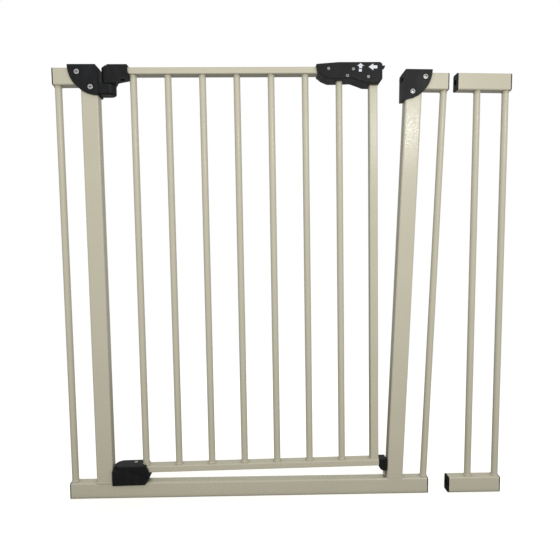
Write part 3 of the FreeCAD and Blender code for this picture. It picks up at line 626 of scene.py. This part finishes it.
# Studio: a pale floor that fades into a white room. A large soft light stands in front, where its own reflection is
# screened off. A small lamp on the right puts a line of light along the tubes, and a third light is for the back.
studio = {
    "floorColour": "#F4F3F0", "floorShade": "#6B6A65", "fadeFrom": 0.55, "fadeTo": 1.3, "floorGlow": 0.6,
    "floorMottle": 6.0, "room": 0.36, "aim": (0.05, 0.0, 0.45), "lampColour": (1.0, 0.985, 0.965),
    "lamps": {
        "keyLight": {"place": (0.12, -1.6, 1.0), "size": 0.9, "watts": 16.5, "glossy": False},
        "glintLight": {"place": (0.83, -1.9, 1.17), "size": 0.13, "watts": 4.2, "glossy": True},
        "backLight": {"place": (0.3, 2.2, 1.3), "size": 1.2, "watts": 18, "glossy": False},
    },
}


# The floor is a disc. The camera sees it pale, while the gate is lit by its darker side, and it grows clear with
# the distance from its middle.
def makeFloor():
    turn = around(96)
    rim = np.stack([np.cos(turn), np.sin(turn), 0 * turn], -1) * studio["fadeTo"]
    mesh = bpy.data.meshes.new("floor")
    mesh.from_pydata(rim.tolist(), [], [list(range(len(rim)))])
    material, tree = newMaterial("paleFloorPaint")
    place = addNode(tree, "TexCoord").outputs["Object"]
    mottle = addNode(tree, "TexNoise", {"Vector": place, "Scale": studio["floorMottle"], "Detail": 3.0})
    rough = addNode(tree, "MapRange", {"Value": mottle.outputs["Fac"], "To Min": 0.75, "To Max": 0.9})
    colour = linear(studio["floorColour"])
    paint = addNode(tree, "BsdfPrincipled", {"Base Color": colour, "Roughness": rough.outputs["Result"],
                                             "Emission Color": colour, "Emission Strength": studio["floorGlow"]})
    shade = addNode(tree, "BsdfDiffuse", {"Color": linear(studio["floorShade"])})
    ray = addNode(tree, "LightPath")
    seen = addNode(tree, "MixShader", {0: ray.outputs["Is Camera Ray"], 1: shade.outputs[0], 2: paint.outputs[0]})
    distance = addNode(tree, "VectorMath", {0: place}, operation="LENGTH")
    fade = addNode(tree, "MapRange", {"Value": distance.outputs["Value"], "From Min": studio["fadeFrom"],
                                      "From Max": studio["fadeTo"]}, interpolation_type="SMOOTHSTEP")
    clear = addNode(tree, "BsdfTransparent")
    faded = addNode(tree, "MixShader", {0: fade.outputs["Result"], 1: seen.outputs[0], 2: clear.outputs[0]})
    addNode(tree, "OutputMaterial", {"Surface": faded.outputs[0]})
    mesh.materials.append(material)
    floor = bpy.data.objects.new("floor", mesh)
    bpy.context.scene.collection.objects.link(floor)


def makeRoom():
    world = bpy.data.worlds.new("brightRoom")
    world.use_nodes = True
    world.node_tree.nodes.clear()
    tree = world.node_tree
    light = addNode(tree, "Background", {"Color": (1.0, 1.0, 1.0, 1.0), "Strength": studio["room"]})
    backdrop = addNode(tree, "Background", {"Color": (1.0, 1.0, 1.0, 1.0), "Strength": 1.0})
    ray = addNode(tree, "LightPath")
    mixed = addNode(tree, "MixShader", {0: ray.outputs["Is Camera Ray"], 1: light.outputs[0], 2: backdrop.outputs[0]})
    addNode(tree, "OutputWorld", {"Surface": mixed.outputs[0]})
    bpy.context.scene.world = world


def makeLight(name, settings):
    lamp = bpy.data.lights.new(name, "AREA")
    lamp.shape = "DISK"
    lamp.size = settings["size"]
    lamp.energy = settings["watts"]
    lamp.color = studio["lampColour"]
    holder = bpy.data.objects.new(name, lamp)
    holder.location = settings["place"]
    holder.rotation_euler = (Vector(studio["aim"]) - holder.location).to_track_quat("-Z", "Y").to_euler()
    holder.visible_glossy = settings["glossy"]
    bpy.context.scene.collection.objects.link(holder)


makeFloor()
makeRoom()
for name, settings in studio["lamps"].items():
    makeLight(name, settings)
bpy.context.scene.view_settings.view_transform = "Standard"
print("studio set")

# Camera: just right of the middle, at half the gate's height, close, with a wide lens.
view = {"place": (0.0258, -0.8515, 0.458), "rightDegrees": 1.89, "downDegrees": 3.51, "lensMm": 29.7}
lens = bpy.data.cameras.new("frontCamera")
lens.sensor_width = 36
lens.lens = view["lensMm"]
lens.clip_start = 0.02
camera = bpy.data.objects.new("frontCamera", lens)
camera.location = view["place"]
camera.rotation_euler = (math.radians(90 - view["downDegrees"]), 0, math.radians(-view["rightDegrees"]))
bpy.context.scene.collection.objects.link(camera)
bpy.context.scene.camera = camera

bpy.context.view_layer.update()
